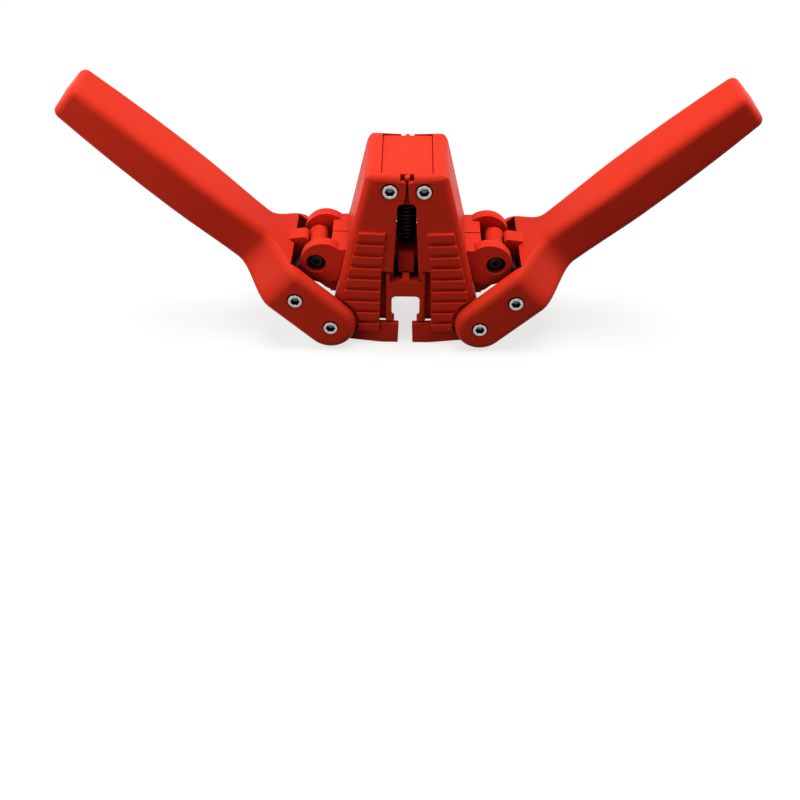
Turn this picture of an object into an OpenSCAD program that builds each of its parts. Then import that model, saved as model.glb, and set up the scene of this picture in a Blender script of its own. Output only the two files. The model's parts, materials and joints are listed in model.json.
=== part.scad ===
// Twin-lever crown capper: two hinged jaws grip the bottle neck while the levers pull a bell down on the cap
// Lengths in millimetres, angles in degrees, +Z up, front towards -Y, origin under the middle of the soles

/* [Tower] */
// Height of the two jaws from the sole to the top
tower_h = 102.7; // [98:0.1:112]
// Depth of the jaws from front to back
tower_d = 50; // [48:0.5:60]
// Width across both jaws at the top, jaws closed
tower_top_w = 41.6; // [38:0.2:48]
// Lean of the side walls, jaws closed
wall_lean = 11.5; // [10:0.1:13]
// Thickness of the moulded walls
wall_t = 3.5; // [3:0.1:4.5]
// Rounding of the outer edges of the tower
edge_r = 4.5; // [2:0.1:6]
// Rounding of the upper outer corners of the tower
corner_r = 6.5; // [4:0.1:9]

/* [Jaws] */
// Sideways place of each jaw hinge from the middle
hinge_x = 8.6; // [8:0.1:10]
// Depth of the jaw hinges below the top
hinge_drop = 9; // [8:0.1:11]
// Angle by which each jaw stands open at rest
jaw_open = 2; // [0.5:0.1:2.4]
// Height of the feet under the wide slot
foot_h = 13; // [11.5:0.1:14]
// Gap between the feet, jaws closed
foot_gap = 1.6; // [1:0.1:4]
// Height of the floor that carries a grip plate
floor_h = 11; // [8:0.1:11]
// Width of the level pad under each foot
pad_w = 6.5; // [4:0.5:12]
// Rise of the sole outside the pad
sole_rise = 6.5; // [3:0.1:8]
// Width of the upper slot at its lower end, jaws closed
slot_w = 10; // [8:0.2:12]
// Depth of the upper slot's top below the hinges
slot_drop = 7; // [6:0.1:12]
// Gap between the jaws at the hinges
hinge_gap = 1.4; // [1:0.1:2]
// Width of the notch between the jaw tops
key_slot_w = 7.4; // [5:0.1:9]
// Depth of the notch between the jaw tops
key_slot_h = 3.6; // [2.5:0.1:4.5]

/* [Grip ribs] */
// Number of ribs on each face of a jaw
rib_count = 9; // [5:1:9]
// Spacing of the ribs
rib_pitch = 7.1; // [6.6:0.1:7.6]
// Height of one rib
rib_h = 5.3; // [3:0.1:6]
// Distance that a rib stands proud of the wall
rib_proud = 1.5; // [0.6:0.1:1.8]
// Depth of the first rib's middle below the hinges
rib_drop = 26.2; // [24:0.1:30]
// Bare strip between the ribs and the slanted edge
rib_edge = 3.8; // [3:0.1:6]

/* [Neck grip] */
// Width that the closed grip plates leave for the neck
neck_w = 26.8; // [24:0.2:28]
// Radius of the notch in a grip plate
notch_r = 16.6; // [16:0.1:17.5]
// Thickness of a grip plate
plate_t = 2; // [1:0.1:2.2]

/* [Frame] */
// Width of the top block between the jaws
block_w = 26; // [25:0.2:28]
// Height of the top block
block_h = 17.4; // [16:0.1:22]
// Depth of the top block's upper face below the jaw tops
panel_sunk = 0.8; // [0.2:0.1:1.5]
// Width of the key that stands in the notch between the jaw tops
key_w = 2.4; // [1.5:0.1:3]
// Width across the wings that close the wide slot from behind
wing_w = 31; // [26:0.5:32]
// Width across the bridge and its legs
bridge_w = 21.8; // [20:0.2:23]
// Height of the arch in the bridge above the feet
arch_h = 17; // [14:0.1:18]
// Width of the arch
arch_w = 15.2; // [12:0.2:16]
// Rounding of the arch's corners
arch_r = 2.5; // [0.5:0.1:4]
// Height of the bridge bar over the arch
bar_h = 9.3; // [7:0.1:10]
// Height of the horns above the bar
horn_h = 6.1; // [4:0.1:8]
// Height of the tongue above the bar
tongue_h = 3; // [1:0.1:4]
// Rounding of the bridge's outer corners
bridge_r = 1.6; // [0.5:0.1:2]
// Gap between the bell and the uprights in front of and behind it
bell_play = 1.8; // [1.2:0.1:2.2]

/* [Carriage] */
// Sideways place of the ear holes from the middle
ear_x = 48; // [47.5:0.1:50]
// Height of the ear holes at rest
ear_z = 47; // [46:0.1:48]
// Radius of an ear's round end
ear_r = 12.2; // [11.8:0.1:12.6]
// Offset of the round end's middle towards the tower
ear_back = 3.8; // [3:0.1:4.5]
// Depth of the arms' tops below the tops of the ears
arm_drop = 3.2; // [0.2:0.1:4]
// Thickness of an ear
ear_t = 6.5; // [5:0.1:7]
// Width between the two ears of a pair
ear_gap_w = 24.6; // [22:0.2:25]
// Radius of the hole in an ear
ear_hole_r = 5.15; // [5:0.05:5.5]
// Width of the front and back guide plates
guide_w = 8.3; // [7:0.1:10]
// Height of the guide plates above the bell
guide_h = 4.3; // [3.6:0.1:8]
// Thickness of the guide plates above the bell
guide_t = 4.8; // [2:0.1:6]
// Length of the guide plates in front of the bell
guide_skirt = 7.5; // [4:0.1:9]

/* [Bell] */
// Radius of the bell's crimping throat
throat_r = 14.3; // [14:0.05:14.6]
// Depth of the throat from the mouth to the ceiling
throat_h = 7; // [6:0.1:7.5]
// Wall of the bell round the throat
bell_wall = 1.9; // [1.5:0.1:2.2]
// Height of the whole bell
bell_h = 13; // [12:0.1:13.5]
// Height of the bell's mouth at rest
mouth_z = 36; // [35.5:0.1:36.5]
// Diameter of the magnet that holds the cap
magnet_d = 12; // [8:0.5:14]
// Thickness of the magnet
magnet_t = 2; // [1.5:0.1:2.4]

/* [Return spring] */
// Length of the guide post inside the coil
post_h = 26; // [10:0.5:28]
// Gap between the guide post and the coil
post_gap = 0.7; // [0.4:0.05:1.2]
// Diameter of the spring wire
wire_d = 1.6; // [1.2:0.1:1.8]
// Mean diameter of the coil
coil_d = 9.4; // [9.2:0.1:10]
// Number of curls
coil_n = 13; // [8:1:13]

/* [Levers] */
// Sideways place of the lever pivots from the middle
pivot_x = 40.5; // [40:0.1:42]
// Height of the lever pivots
pivot_z = 15.1; // [14.5:0.1:16]
// Rise of the levers at rest
lever_rise = 43.4; // [42:0.1:45]
// Distance from the lever pivot to the link pivot
link_arm = 25.2; // [24.6:0.1:25.8]
// Distance from the lever pivot to the tip of the handle
lever_len = 174.5; // [140:0.5:190]
// Half height of a cheek, which is the radius of its round end
cheek_r = 13.8; // [12.5:0.1:14]
// Thickness of a cheek
cheek_t = 7.4; // [6:0.1:9]
// Distance from the lever pivot to the web between the cheeks
web_start = 39.5; // [38.5:0.1:42]
// Distance from the lever pivot to the start of the shoulder
shoulder_start = 32.4; // [30:0.1:34]
// Length of the shoulder that narrows to the handle
shoulder_len = 25; // [20:0.5:34]
// Width of the handle where it leaves the shoulder
root_w = 26.8; // [22:0.2:30]
// Width of the handle at the grip
handle_w = 31.4; // [26:0.2:34]
// Length over which the handle widens to the grip
swell_len = 45; // [20:1:80]
// Thickness of the handle where it leaves the shoulder
handle_t = 23.2; // [20:0.2:27]
// Width of the handle at the tip
tip_w = 28.2; // [24:0.2:31]
// Thickness of the handle at the tip
tip_t = 19.2; // [17:0.2:23]
// Drop of the lever's middle line below the line of its pivots
lever_drop = 0.7; // [0:0.1:1.2]
// Rounding of the lever's edges
lever_r = 4.6; // [3:0.1:6]
// Rounding of the handle's end
tip_r = 3.5; // [2:0.1:4.5]
// Width of the stop lug on the web
lug_w = 10; // [6:0.5:14]

/* [Links] */
// Radius of the link's upper barrel
barrel_r = 6; // [5.6:0.1:6.2]
// Radius of the link's lower knuckle
knuckle_r = 6.5; // [5:0.1:7]
// Radius of the pin that turns in the ears
pin_r = 3.8; // [3:0.05:3.8]
// Depth of the pin's ends below the outer faces of the ears
pin_sunk = 2.4; // [0.5:0.1:4]
// Width of the hex socket in the pin's ends across its corners
pin_socket_d = 4; // [2:0.1:4.4]
// Depth of the hex socket in the pin's ends
pin_socket_h = 2; // [1:0.1:4]

/* [Screws] */
// Diameter of a screw head
head_d = 7.6; // [7:0.1:8]
// Height of a screw head
head_h = 2.4; // [2:0.1:3]
// Depth by which a head is let into its wall
head_sunk = 1.9; // [1:0.1:1.9]
// Diameter of the shoulder that a piece turns on
shoulder_d = 6; // [5:0.1:6.4]
// Diameter of the thread
thread_d = 4; // [3:0.1:4.4]
// Length of the thread
thread_l = 4.6; // [3:0.1:4.8]
// Width of the hex socket across its corners
socket_d = 5; // [3:0.1:5.4]
// Depth of the hex socket
socket_h = 2.2; // [1:0.1:2.3]
// Diameter of a grip plate screw's head
plate_head_d = 5.4; // [4:0.1:6]
// Height of a grip plate screw's head
plate_head_h = 1.4; // [1:0.1:1.6]
// Diameter of a grip plate screw's shank
plate_shank_d = 3; // [2:0.1:3.4]

/* [Clearances] */
// Radial clearance of a turning fit
run_gap = 0.05; // [0.02:0.01:0.09]
// Radial clearance of a fixed fit
seat_gap = 0.02; // [0.01:0.01:0.05]
// Gap between flat faces that slide past each other
slide_gap = 0.4; // [0.3:0.05:0.6]
// Gap between the lever cheeks and the jaws
cheek_gap = 0.6; // [0.4:0.05:1]
// Play round a screw head in its counterbore
head_gap = 0.45; // [0.2:0.05:0.5]

/* [Hidden] */
$fn = 64;

red = "#c8281e";
steel = "#c9ccd0";
black = "#1b1b1d";
past = 1;
deep = 12;
skin = 0.02;

// Places of the pivots, as x and z
hinge_z = tower_h - hinge_drop;
hinge = [hinge_x, hinge_z];
pivot = [pivot_x, pivot_z];
arm_dir = [cos(lever_rise), sin(lever_rise)];
link_low = pivot + link_arm * arm_dir;
link_top = [ear_x, ear_z];

// A place on a jaw, taken back to where it is with the jaws closed
function closed(p) = hinge + [
    (p.x - hinge.x) * cos(jaw_open) + (p.y - hinge.y) * sin(jaw_open),
    (p.y - hinge.y) * cos(jaw_open) - (p.x - hinge.x) * sin(jaw_open)];
pivot_closed = closed(pivot);

// Tower: half width of the leaning wall, jaws closed
function wall_x(z) = tower_top_w / 2 + (tower_h - z) * tan(wall_lean);
half_d = tower_d / 2;
inner_d = half_d - wall_t;
corner_run = corner_r / tan(45 + wall_lean / 2);
top_t = wall_t + 0.5;
below = 6;

// Frame
bridge_x = bridge_w / 2;
block_x = block_w / 2;
block_y = inner_d - slide_gap;
panel_z = tower_h - panel_sunk;
block_z = panel_z - block_h;
wing_x = wing_w / 2;
upright_in = throat_r + bell_wall + bell_play;
leg_z = foot_h + 3 * slide_gap;
wing_z = foot_h + slide_gap;
arch_z = foot_h + arch_h;
bar_z = arch_z + bar_h;
horn_z = bar_z + horn_h;
bridge_y = half_d - 2 * slide_gap;
slot_x = slot_w / 2;
wide_x = bridge_x + slide_gap;
wide_z = horn_z + 2 * slide_gap;
upright_x = slot_x + jaw_shift(wide_z) + slide_gap / 2;
tongue_run = 3.6;
tongue_top = 1.4;
slot_z = hinge_z - slot_drop;
slot_round = 1.8;
seam_rise = 4;
key_floor = tower_h - key_slot_h;

// Sideways shift of a jaw's point at height z when it stands open
function jaw_shift(z) = (hinge_z - z) * sin(jaw_open);

// Ribs
rib_in_top = slot_x + 5;
rib_in_low = wide_x + slide_gap / 2;
rib_top_z = hinge_z - rib_drop + rib_h / 2;
rib_low_z = hinge_z - rib_drop - (rib_count - 1) * rib_pitch - rib_h / 2;
rib_round = min(0.9, rib_proud - 0.1);
rib_trim_r = cheek_r + lever_drop + slide_gap;

// Window in the side wall for the ears and links
ear_out = ear_gap_w / 2 + ear_t;
window_y = ear_out + 2 * slide_gap;
end_top = ear_z + ear_r - arm_drop;
window_z = end_top + 4 * slide_gap;
floor_in = wide_x + slide_gap / 4;
floor_x = 27;
pivot_boss_r = cheek_r - 2.8;
boss_out = half_d - 0.3;
boss_in = window_y + 0.3;
notch_x = neck_w / 2 - notch_r;
notch_play = 0.8;

// Bell and carriage
bell_r = throat_r + bell_wall;
bell_top = mouth_z + bell_h;
ceiling_z = mouth_z + throat_h;
mouth_flare = 1;
boss_r = bell_r + slide_gap;
boss_h = 3.4;
seat_z = bell_top + boss_h;
guide_y = upright_in - slide_gap;
skirt_in = bell_r + slide_gap / 2;
end_low = ear_z - 9;
end_x = [wing_x + 2.5, ear_x - barrel_r - 2];
end_groove = 0.7;
beam_y = 9;
beam_top = end_top - 2;
beam_in = coil_d / 2 + wire_d + slide_gap;
ear_mid = [ear_x - ear_back, ear_z];
bell_shank_r = thread_d / 2;
post_r = (coil_d - wire_d) / 2 - post_gap;
bell_grip_h = 3;

// Levers
cheek_in = half_d + cheek_gap;
cheek_out = cheek_in + cheek_t;
link_seat = cheek_in - slide_gap;
lug_reach = barrel_r + slide_gap;
shoulder_end = shoulder_start + shoulder_len;
swell_end = shoulder_end + swell_len;
ring_n = 7;
shoulder_n = 10;
swell_n = 5;
taper_n = 4;
tip_n = 5;

// Places on the lever, as distance along it and height above it
link_rel = link_top - pivot;
link_along = link_rel * arm_dir;
link_above = link_rel * [-arm_dir.y, arm_dir.x];

// Solids made from a profile in x and z, or in y and z
module along_y(depth) { rotate([90, 0, 0]) linear_extrude(height = depth, center = true) children(); }
module along_x(width) { rotate([90, 0, 90]) linear_extrude(height = width, center = true) children(); }
module rod_y(r, depth) { rotate([90, 0, 0]) cylinder(r = r, h = depth, center = true); }
module at(p) { translate([p.x, 0, p.y]) children(); }
module on_side(side) { if (side > 0) children(); else mirror([1, 0, 0]) children(); }
module both_faces() { children(); mirror([0, 1, 0]) children(); }

// A jaw's piece, built closed and swung open about its hinge
module opened() {
    translate([hinge_x, 0, hinge_z])
        rotate([0, -jaw_open, 0])
            translate([-hinge_x, 0, -hinge_z]) children();
}

// Tower half: leaning wall with a rounded shoulder
module tower_profile() {
    polygon([
        [0, -below], [wall_x(-below), -below],
        [wall_x(tower_h) + corner_run * sin(wall_lean), tower_h - corner_run * cos(wall_lean)],
        [wall_x(tower_h) - corner_run, tower_h], [0, tower_h]]);
    translate([wall_x(tower_h) - corner_run, tower_h - corner_r]) circle(r = corner_r - skin);
}

// Column along the leaning wall whose two outer edges are rounded
module leaning_column() {
    reach = 3 * tower_h;
    translate([wall_x(0), 0, 0])
        rotate([0, -wall_lean, 0])
            linear_extrude(height = reach, center = true) {
                translate([-reach / 2, 0]) square([reach, tower_d - 2 * edge_r], center = true);
                translate([-reach - edge_r, -half_d]) square([reach, tower_d]);
                for (y = [-1, 1]) translate([-edge_r, y * (half_d - edge_r)]) circle(r = edge_r);
            }
}

// Bar along x whose two top edges are rounded
module rounded_top() {
    along_x(4 * tower_top_w) {
        translate([-half_d, -below]) square([tower_d, tower_h + below - edge_r]);
        translate([-half_d + edge_r, -below]) square([tower_d - 2 * edge_r, tower_h + below]);
        for (y = [-1, 1]) translate([y * (half_d - edge_r), tower_h - edge_r]) circle(r = edge_r);
    }
}

// Inside of a jaw, open towards the middle, over the top block and between the two feet
module cavity_profile() {
    side_x = block_x + slide_gap;
    polygon([
        [-past, -2 * below], [floor_in, -2 * below], [floor_in, floor_h],
        [wall_x(floor_h) - wall_t, floor_h],
        [wall_x(tower_h - top_t) - wall_t, tower_h - top_t],
        [side_x, tower_h - top_t], [side_x, tower_h + past], [-past, tower_h + past]]);
}

// Slots between the jaws: foot gap, wide slot, upper slot, hinge gap and the notch for the key
module slot_profile() {
    gap = hinge_gap / 2;
    key_x = key_slot_w / 2;
    polygon([
        [-past, -below - past], [foot_gap / 2, -below - past], [foot_gap / 2, foot_h],
        [wide_x, foot_h], [wide_x, wide_z], [slot_x, wide_z],
        [slot_x - 0.5, slot_z - slot_round], [slot_x - slot_round, slot_z], [gap + past, slot_z],
        [gap, slot_z + seam_rise], [gap, key_floor], [key_x, key_floor], [key_x, tower_h + past],
        [-past, tower_h + past]]);
}

module rib_field() {
    difference() {
        polygon([
            [rib_in_top, rib_top_z], [rib_in_low, wide_z], [rib_in_low, rib_low_z],
            [wall_x(rib_low_z) - rib_edge, rib_low_z], [wall_x(rib_top_z) - rib_edge, rib_top_z]]);
        translate(pivot_closed) circle(r = rib_trim_r);
    }
}

// Section of one rib on the front wall, with rounded outer corners
module rib_section() {
    translate([-half_d - rib_proud + rib_round, -rib_h / 2])
        square([rib_proud + past - rib_round, rib_h]);
    translate([-half_d - rib_proud, -rib_h / 2 + rib_round])
        square([rib_proud + past, rib_h - 2 * rib_round]);
    for (z = [-1, 1])
        translate([-half_d - rib_proud + rib_round, z * (rib_h / 2 - rib_round)])
            circle(r = rib_round, $fn = 24);
}

module ribs() {
    intersection() {
        along_y(tower_d + 4 * rib_proud) rib_field();
        for (i = [0 : rib_count - 1])
            translate([0, 0, hinge_z - rib_drop - i * rib_pitch]) along_x(4 * tower_top_w) rib_section();
    }
}

// Everything under the soles: level below the pads, rising outside them
module ground() {
    inner = foot_gap / 2 + jaw_shift(0);
    outer = 2 * pivot_x;
    along_y(tower_d + 4)
        polygon([
            [-past, 0], [inner + pad_w, 0], [outer, (outer - inner - pad_w) * tan(sole_rise)],
            [outer, -3 * below], [-past, -3 * below]]);
}

// Bore for a shoulder with a counterbore for the head, from the front face at y
module head_bore(p, y, r) {
    at(p) {
        translate([0, -y + head_sunk / 2 - past / 2, 0]) rod_y(head_d / 2 + head_gap, head_sunk + past);
        translate([0, -y + deep / 2, 0]) rod_y(r, deep + 2 * past);
    }
}

module jaw_shell() {
    difference() {
        intersection() {
            along_y(tower_d) tower_profile();
            leaning_column();
            rounded_top();
        }
        along_y(2 * inner_d) cavity_profile();
        along_y(tower_d + 2 * past) slot_profile();
        translate([floor_x, -window_y, -below - past])
            cube([tower_top_w, 2 * window_y, window_z + below + past]);
        translate([end_x[0], -window_y, floor_h + past])
            cube([tower_top_w, 2 * window_y, window_z - floor_h - past]);
        translate([notch_x, 0, -below - past])
            cylinder(r = notch_r + notch_play, h = floor_h + below + 2 * past);
    }
}

// Bosses at the lever pivots, on the inside of the front and back walls
module pivot_bosses() {
    both_faces()
        translate([0, -(boss_out + boss_in) / 2, 0])
            along_y(boss_out - boss_in) {
                translate(pivot_closed) circle(r = pivot_boss_r);
                polygon([
                    [floor_x, 0], [pivot_closed.x, pivot_closed.y - pivot_boss_r],
                    [pivot_closed.x, pivot_closed.y + pivot_boss_r],
                    [floor_x, pivot_closed.y + 2 * pivot_boss_r]]);
            }
}

module jaw(side) {
    color(red)
        on_side(side)
            difference() {
                opened() {
                    difference() {
                        union() {
                            jaw_shell();
                            pivot_bosses();
                            both_faces() ribs();
                        }
                        both_faces() head_bore(hinge, half_d, shoulder_d / 2 + run_gap);
                        at(pivot_closed) rod_y(thread_d / 2 + seat_gap, tower_d + 2 * past);
                        for (y = [-1, 1]) plate_hole(y, plate_shank_d / 2 + seat_gap);
                    }
                }
                ground();
            }
}

// Grip plates on the jaw floors
plate_x = [wide_x + slide_gap, floor_x - slide_gap];
plate_y = inner_d - slide_gap;
plate_screw = [plate_x[1] - 4.5, plate_y - 5];

module plate_hole(y, r) {
    translate([plate_screw.x, y * plate_screw.y, floor_h - deep / 2])
        cylinder(r = r, h = deep + plate_t, $fn = 32);
}

module grip_plate(side) {
    color(steel)
        on_side(side)
            opened()
                difference() {
                    translate([plate_x[0], -plate_y, floor_h])
                        cube([plate_x[1] - plate_x[0], 2 * plate_y, plate_t]);
                    translate([notch_x, 0, floor_h - past]) cylinder(r = notch_r, h = plate_t + 2 * past);
                    for (y = [-1, 1]) plate_hole(y, plate_shank_d / 2 + seat_gap);
                }
}

module plate_screws(side) {
    shank_l = plate_t + floor_h / 2;
    color(steel)
        on_side(side)
            opened()
                for (y = [-1, 1])
                    translate([plate_screw.x, y * plate_screw.y, floor_h + plate_t])
                        difference() {
                            union() {
                                cylinder(d = plate_head_d, h = plate_head_h, $fn = 32);
                                translate([0, 0, -shank_l])
                                    cylinder(d = plate_shank_d, h = shank_l, $fn = 32);
                            }
                            translate([0, 0, plate_head_h / 2])
                                cylinder(d = plate_head_d / 2, h = plate_head_h, $fn = 6);
                        }
}

// Frame: top block, winged uprights behind the jaw walls, and an arched bridge at the front and the back
module arch_profile() {
    arch_x = arch_w / 2;
    low = leg_z - slide_gap / 2;
    translate([-arch_x, low + arch_r]) square([arch_w, arch_z - low - 2 * arch_r]);
    translate([-arch_x + arch_r, low - past]) square([arch_w - 2 * arch_r, arch_z - low + past]);
    for (s = [-1, 1])
        for (z = [low + arch_r, arch_z - arch_r])
            translate([s * (arch_x - arch_r), z]) circle(r = arch_r, $fn = 32);
}

module bridge_profile() {
    horn_w = 2.4;
    difference() {
        union() {
            translate([-bridge_x, leg_z]) square([bridge_w, bar_z - leg_z]);
            for (s = [-1, 1])
                translate([s * (bridge_x - horn_w / 2), (bar_z + horn_z) / 2])
                    square([horn_w, horn_h], center = true);
        }
        arch_profile();
    }
}

// Plan of the front bridge with rounded outer corners
module bridge_plan() {
    translate([-bridge_x, -bridge_y + bridge_r]) square([bridge_w, bridge_y]);
    translate([-bridge_x + bridge_r, -bridge_y]) square([bridge_w - 2 * bridge_r, bridge_y]);
    for (s = [-1, 1])
        translate([s * (bridge_x - bridge_r), -bridge_y + bridge_r]) circle(r = bridge_r, $fn = 32);
}

module bridge() {
    intersection() {
        translate([0, -(bridge_y + upright_in) / 2, 0]) along_y(bridge_y - upright_in) bridge_profile();
        linear_extrude(height = tower_h) bridge_plan();
    }
}

// Sloped tongue on the back of the bridge bar
module tongue() {
    back = -upright_in - slide_gap / 4;
    along_x(bridge_w / 5.6)
        polygon([
            [back - tongue_run, bar_z], [back - tongue_run, bar_z - past], [back, bar_z - past],
            [back, bar_z + tongue_h], [back - tongue_top, bar_z + tongue_h]]);
}

// Right upright with its wing, from the legs of the bridge to the top block
module upright_profile() {
    leg_x = (arch_w / 2 + bridge_x) / 2;
    polygon([
        [upright_x, bar_z - past], [leg_x, bar_z - past], [leg_x, wing_z], [wing_x, wing_z],
        [wing_x, block_z + past], [upright_x, block_z + past]]);
}

module key() {
    low = key_floor + slide_gap;
    translate([-key_w / 2, -bridge_y, low]) cube([key_w, bridge_y, panel_z - slide_gap - low]);
}

module frame() {
    color(red)
        difference() {
            union() {
                translate([-block_x, -block_y, block_z]) cube([block_w, 2 * block_y, block_h]);
                both_faces() {
                    for (s = [-1, 1])
                        on_side(s)
                            translate([0, -(block_y + upright_in) / 2, 0])
                                along_y(block_y - upright_in) upright_profile();
                    bridge();
                    tongue();
                    key();
                }
            }
            for (s = [-1, 1]) at([s * hinge_x, hinge_z]) rod_y(thread_d / 2 + seat_gap, tower_d);
        }
}

// Screw whose smooth shoulder is the pivot: seat under the head at y = 0, head in front, thread behind
module shoulder_screw(grip) {
    difference() {
        union() {
            translate([0, -head_h / 2, 0]) rod_y(head_d / 2, head_h);
            translate([0, grip / 2, 0]) rod_y(shoulder_d / 2, grip);
            translate([0, grip + thread_l / 2, 0]) rod_y(thread_d / 2, thread_l);
        }
        translate([0, -head_h + socket_h / 2 - past / 2, 0])
            rotate([90, 0, 0]) cylinder(d = socket_d, h = socket_h + past, center = true, $fn = 6);
    }
}

// Front and back screws at pivot p, through a wall with its outer face at y, into a piece faced at seat
module screw_pair(side, p, y, seat) {
    color(steel)
        on_side(side)
            both_faces()
                at(p) translate([0, -y + head_sunk, 0]) shoulder_screw(y - head_sunk - seat);
}

// Return spring: one tube wound about z, with a straight upright end against each seat
spring_z = [seat_z, block_z];
spring_pitch = (spring_z[1] - spring_z[0] - 2 * wire_d) / coil_n;
curl_steps = 10;
spring_steps = curl_steps * coil_n;
tube_sides = 6;
function spring_turn(i) = 360 * i / curl_steps;
function coil_point(i) = [
    coil_d / 2 * cos(spring_turn(i)), coil_d / 2 * sin(spring_turn(i)),
    spring_z[0] + wire_d + spring_pitch * i / curl_steps];
function end_point(z) = [coil_d / 2, 0, z];
spring_path = concat(
    [end_point(spring_z[0])],
    [for (i = [0 : spring_steps]) coil_point(i)],
    [end_point(spring_z[1])]);
spring_last = len(spring_path) - 1;
function along_path(k) = k == 0 || k == spring_last ? [0, 0, 1]
    : spring_path[k + 1] - spring_path[k - 1];
function unit(v) = v / norm(v);
function outwards(k) = [cos(spring_turn(k - 1)), sin(spring_turn(k - 1)), 0];
function ring_point(k, j) =
    let (t = unit(along_path(k)), o = k == 0 || k == spring_last ? [1, 0, 0] : outwards(k))
    let (n = unit(o - (o * t) * t), b = cross(t, n), a = 360 * j / tube_sides)
    spring_path[k] + wire_d / 2 * (cos(a) * n + sin(a) * b);

// Least gap of the coil to itself, measured between points at least half a curl apart
half_curl = curl_steps / 2;
spring_gap = min([for (a = [0 : spring_last - half_curl]) for (b = [a + half_curl : spring_last])
    norm(spring_path[a] - spring_path[b])]) - wire_d;
echo(least_spring_gap = spring_gap);  // return_spring

module return_spring() {
    points = [for (k = [0 : spring_last]) for (j = [0 : tube_sides - 1]) ring_point(k, j)];
    function at_ring(k, j) = k * tube_sides + j % tube_sides;
    sides = [for (k = [0 : spring_last - 1]) for (j = [0 : tube_sides - 1]) for (half = [0, 1])
        half == 0 ? [at_ring(k, j), at_ring(k + 1, j), at_ring(k + 1, j + 1)]
                  : [at_ring(k, j), at_ring(k + 1, j + 1), at_ring(k, j + 1)]];
    start_cap = [for (j = [1 : tube_sides - 2]) [at_ring(0, 0), at_ring(0, j), at_ring(0, j + 1)]];
    end_cap = [for (j = [1 : tube_sides - 2])
        [at_ring(spring_last, 0), at_ring(spring_last, j + 1), at_ring(spring_last, j)]];
    color(black) polyhedron(points = points, faces = concat(start_cap, sides, end_cap));
}

// Carriage: a boss over the bell, guide plates, and a beam that ends in a pair of ears on each side
module ear_profile() {
    translate(ear_mid) circle(r = ear_r);
    translate([end_x[0], end_low]) square([ear_mid.x - end_x[0], end_top - end_low]);
}

module carriage_end() {
    difference() {
        along_y(2 * ear_out) ear_profile();
        translate([end_x[1], -ear_gap_w / 2, 0]) cube([tower_top_w, ear_gap_w, tower_h]);
        translate([end_x[0], -ear_gap_w / 2, end_top]) cube([tower_top_w, ear_gap_w, tower_h]);
        at(link_top) rod_y(ear_hole_r, tower_d);
        translate([0, -end_groove / 2, end_top - end_groove]) cube([tower_top_w, end_groove, tower_h]);
    }
}

// Guide plate that hangs in front of the bell, behind the bridge
module guide_profile() {
    lap = boss_h / 2;
    polygon([
        [-guide_y, bell_top - guide_skirt], [-skirt_in, bell_top - guide_skirt],
        [-skirt_in, bell_top + lap], [guide_t - guide_y, bell_top + lap],
        [guide_t - guide_y, bell_top + guide_h], [-guide_y, bell_top + guide_h]]);
}

module carriage() {
    color(red)
        difference() {
            union() {
                translate([0, 0, bell_top]) cylinder(r = boss_r, h = boss_h);
                both_faces() along_x(guide_w) guide_profile();
                for (side = [-1, 1])
                    on_side(side) {
                        translate([beam_in, -beam_y, bell_top])
                            cube([end_x[0] - beam_in + past, 2 * beam_y, beam_top - bell_top]);
                        carriage_end();
                    }
            }
            translate([0, 0, bell_top - past]) cylinder(r = bell_shank_r + seat_gap, h = boss_h + 2 * past);
        }
}

module bell() {
    color(black)
        difference() {
            translate([0, 0, mouth_z]) cylinder(r = bell_r, h = bell_h);
            translate([0, 0, mouth_z - past]) cylinder(r = throat_r, h = throat_h + past);
            translate([0, 0, mouth_z]) cylinder(r1 = throat_r + mouth_flare, r2 = throat_r, h = mouth_flare);
            translate([0, 0, ceiling_z - past]) cylinder(r = magnet_d / 2 + seat_gap, h = magnet_t + past);
            translate([0, 0, bell_top - bell_grip_h]) cylinder(r = bell_shank_r + seat_gap, h = deep);
        }
}

module cap_magnet() { color(black) translate([0, 0, ceiling_z]) cylinder(d = magnet_d, h = magnet_t); }

module bell_screw() {
    color(black)
        difference() {
            union() {
                translate([0, 0, seat_z]) cylinder(r = post_r, h = post_h);
                translate([0, 0, bell_top - bell_grip_h])
                    cylinder(r = bell_shank_r, h = bell_grip_h + boss_h);
            }
            translate([0, 0, seat_z + post_h - socket_h]) cylinder(d = socket_d, h = deep, $fn = 6);
        }
}

// Lever: lofted from the cheeks through a narrowing shoulder to a handle that swells at the grip
function ease(u) = u * u * (3 - 2 * u);
function share(s, start, length) = min(1, max(0, (s - start) / length));
function narrowing(s) = ease(share(s, shoulder_start, shoulder_len));
function swelling(s) = ease(share(s, shoulder_end, swell_len));
function tapering(s) = share(s, swell_end, lever_len - swell_end) ^ 2;
function half_width(s) = cheek_out + (root_w / 2 - cheek_out) * narrowing(s)
    + (handle_w - root_w) / 2 * swelling(s) - (handle_w - tip_w) / 2 * tapering(s);
function half_height(s) = cheek_r + (handle_t / 2 - cheek_r) * narrowing(s)
    - (handle_t - tip_t) / 2 * tapering(s);
function loft_ring(s, w, h, r) = [for (q = [0 : 3]) for (i = [0 : ring_n - 1])
    let (a = 90 * q + 90 * i / (ring_n - 1), sy = q == 0 || q == 3 ? 1 : -1, sz = q < 2 ? 1 : -1)
    [s, sy * (w - r) + r * cos(a), sz * (h - r) + r * sin(a) - lever_drop]];
loft_stations = concat(
    [0],
    [for (i = [0 : shoulder_n]) shoulder_start + shoulder_len * i / shoulder_n],
    [for (i = [1 : swell_n]) shoulder_end + swell_len * i / swell_n],
    [for (i = [1 : taper_n - 1]) swell_end + (lever_len - tip_r - swell_end) * i / taper_n],
    [for (i = [0 : tip_n]) lever_len - tip_r + tip_r * sin(90 * i / tip_n)]);
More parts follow.
